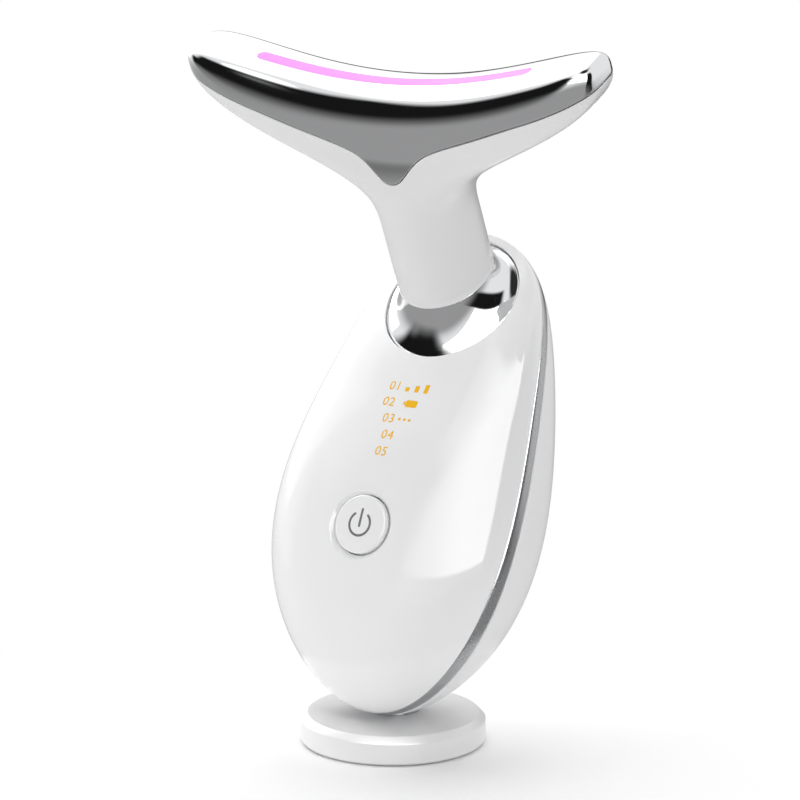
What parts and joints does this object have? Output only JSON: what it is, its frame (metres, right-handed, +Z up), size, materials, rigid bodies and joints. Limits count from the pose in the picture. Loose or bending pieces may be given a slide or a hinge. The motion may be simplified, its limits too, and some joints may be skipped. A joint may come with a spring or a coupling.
{
  "type": "neck massager",
  "caption": "Neck massager with a T-shaped chrome contact head and light strip, an egg-shaped handle with a round power button, on a round magnetic stand.",
  "frame": {"origin": "centre of the stand's underside, on the table", "axes": "+Z up, -Y towards the user (the button side), +X along the head's right wing seen from behind the button"},
  "size_m": [0.1016, 0.057, 0.1502],
  "materials": {
    "chrome": "mirror chrome plating on ABS",
    "pink_strip": "lit pink diffuser",
    "board": "green circuit board",
    "led": "clear resin",
    "film": "polyimide film",
    "dark_plastic": "black moulding",
    "white_plastic": "satin white ABS",
    "white_gloss": "polished white ABS",
    "grey_plastic": "plain grey ABS",
    "steel": "plain",
    "rubber": "matt",
    "silver_trim": "metallic silver paint",
    "amber_led": "lit amber",
    "battery_foil": "foil pouch",
    "pearl": "pearl silver lacquer"
  },
  "bodies": {
    "stand": {"stand_base": "pearl", "stand_weight": "steel", "stand_magnet": "steel", "stand_foot": "rubber"},
    "handle": {"contact_plate": "chrome", "light_strip": "pink_strip", "led_board": "board", "head_leds": "led", "heater_film": "film", "thermistor": "dark_plastic", "head_housing": "white_plastic", "neck_core": "grey_plastic", "neck_screws": "steel", "motor_can": "steel", "motor_sleeve": "rubber", "collar": "chrome", "front_shell": "white_gloss", "trim_band": "silver_trim", "rear_shell": "white_plastic", "switch_body": "dark_plastic", "main_board": "board", "board_screws": "steel", "board_chips": "dark_plastic", "display_board": "board", "display_leds": "amber_led", "display_guide": "white_plastic", "battery": "battery_foil", "battery_pad": "rubber", "charge_port": "steel", "charge_board": "board", "dock_plate": "steel"},
    "button": {"power_button": "white_gloss"},
    "plunger": {"switch_plunger": "dark_plastic"},
    "rotor": {"motor_rotor": "steel"}
  },
  "joints": [
    {"name": "handle_lift", "type": "slide", "parent": "stand", "child": "handle", "axis": [0, 0, 1], "range_m": [0, 0.03]},
    {"name": "button_press", "type": "slide", "parent": "handle", "child": "button", "axis": [0, 0.9191, -0.3939], "range_m": [0, 0.0005], "stiffness_N_per_m": 1500, "springref_m": -0.0005},
    {"name": "plunger_press", "type": "slide", "parent": "handle", "child": "plunger", "axis": [0, 0.9191, -0.3939], "range_m": [0, 0.0005]},
    {"name": "rotor_spin", "type": "hinge", "parent": "handle", "child": "rotor", "pos_m": [0, 0.0008, 0.1424], "axis": [0, -0.4099, 0.9121], "continuous": true}
  ],
  "couplings": [
    {"joint": "plunger_press", "follows": "button_press", "ratio": 1}
  ]
}
